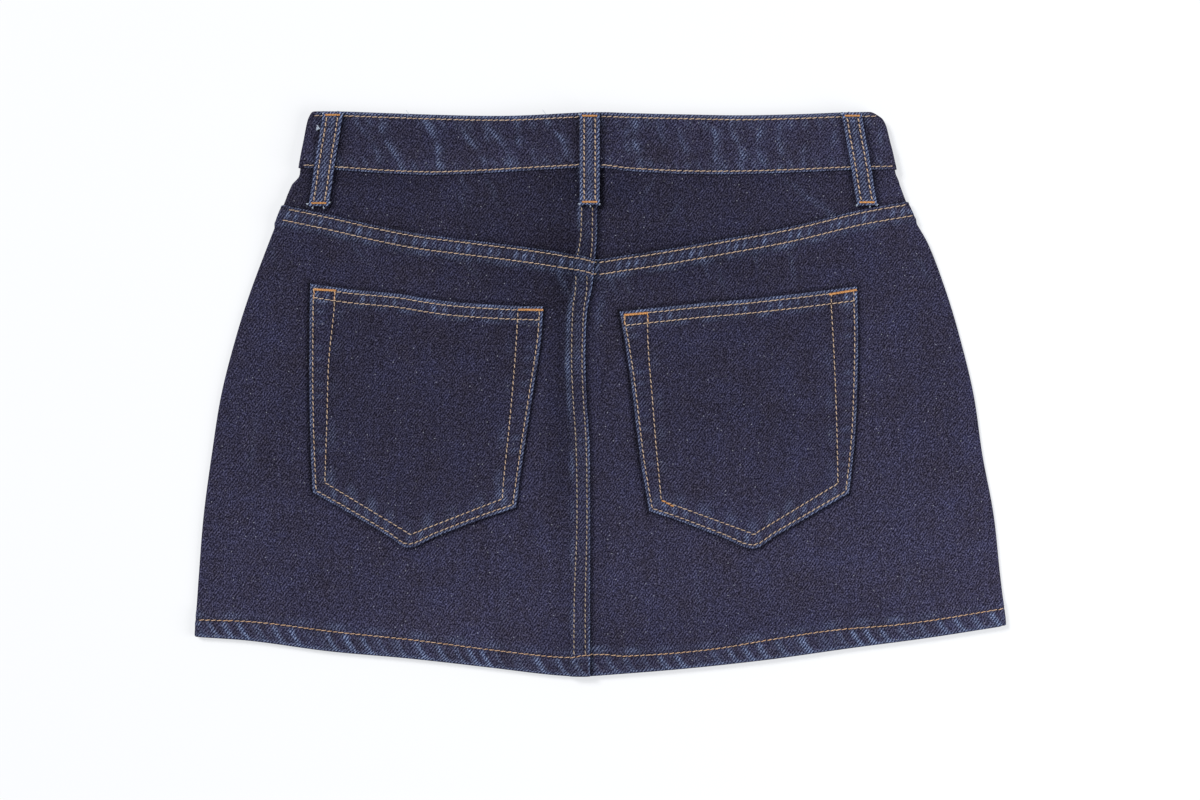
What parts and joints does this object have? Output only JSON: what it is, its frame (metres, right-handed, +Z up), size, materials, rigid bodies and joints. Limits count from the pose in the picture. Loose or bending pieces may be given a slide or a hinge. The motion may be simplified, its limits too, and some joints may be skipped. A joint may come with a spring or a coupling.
{
  "type": "denim skirt",
  "caption": "Dark indigo denim mini skirt with a yoke, two patch pockets and belt loops at the back, laid flat with its back up.",
  "frame": {"origin": "on the surface under the middle of the skirt's outline", "axes": "+Z up out of the surface, +Y towards the waist, +X towards the wearer's right, which is the right of the back as it lies"},
  "size_m": [0.5037, 0.3499, 0.0153],
  "materials": {
    "indigo_denim": "matt three-by-one indigo twill, paler along worn folds and seams",
    "topstitch_thread": "matt tan cotton-wrapped topstitch thread",
    "antique_brass": "brushed antique brass"
  },
  "bodies": {
    "root": {"back_panel_left": "indigo_denim", "back_panel_right": "indigo_denim", "back_yoke_left": "indigo_denim", "back_yoke_right": "indigo_denim", "back_pocket_left": "indigo_denim", "back_pocket_right": "indigo_denim", "front_panel_left": "indigo_denim", "front_panel_right": "indigo_denim", "fly_shield": "indigo_denim", "waistband": "indigo_denim", "belt_loop_back_left": "indigo_denim", "belt_loop_back_centre": "indigo_denim", "belt_loop_back_right": "indigo_denim", "belt_loop_front_left": "indigo_denim", "belt_loop_front_right": "indigo_denim", "waist_button": "antique_brass"}
  },
  "joints": []
}
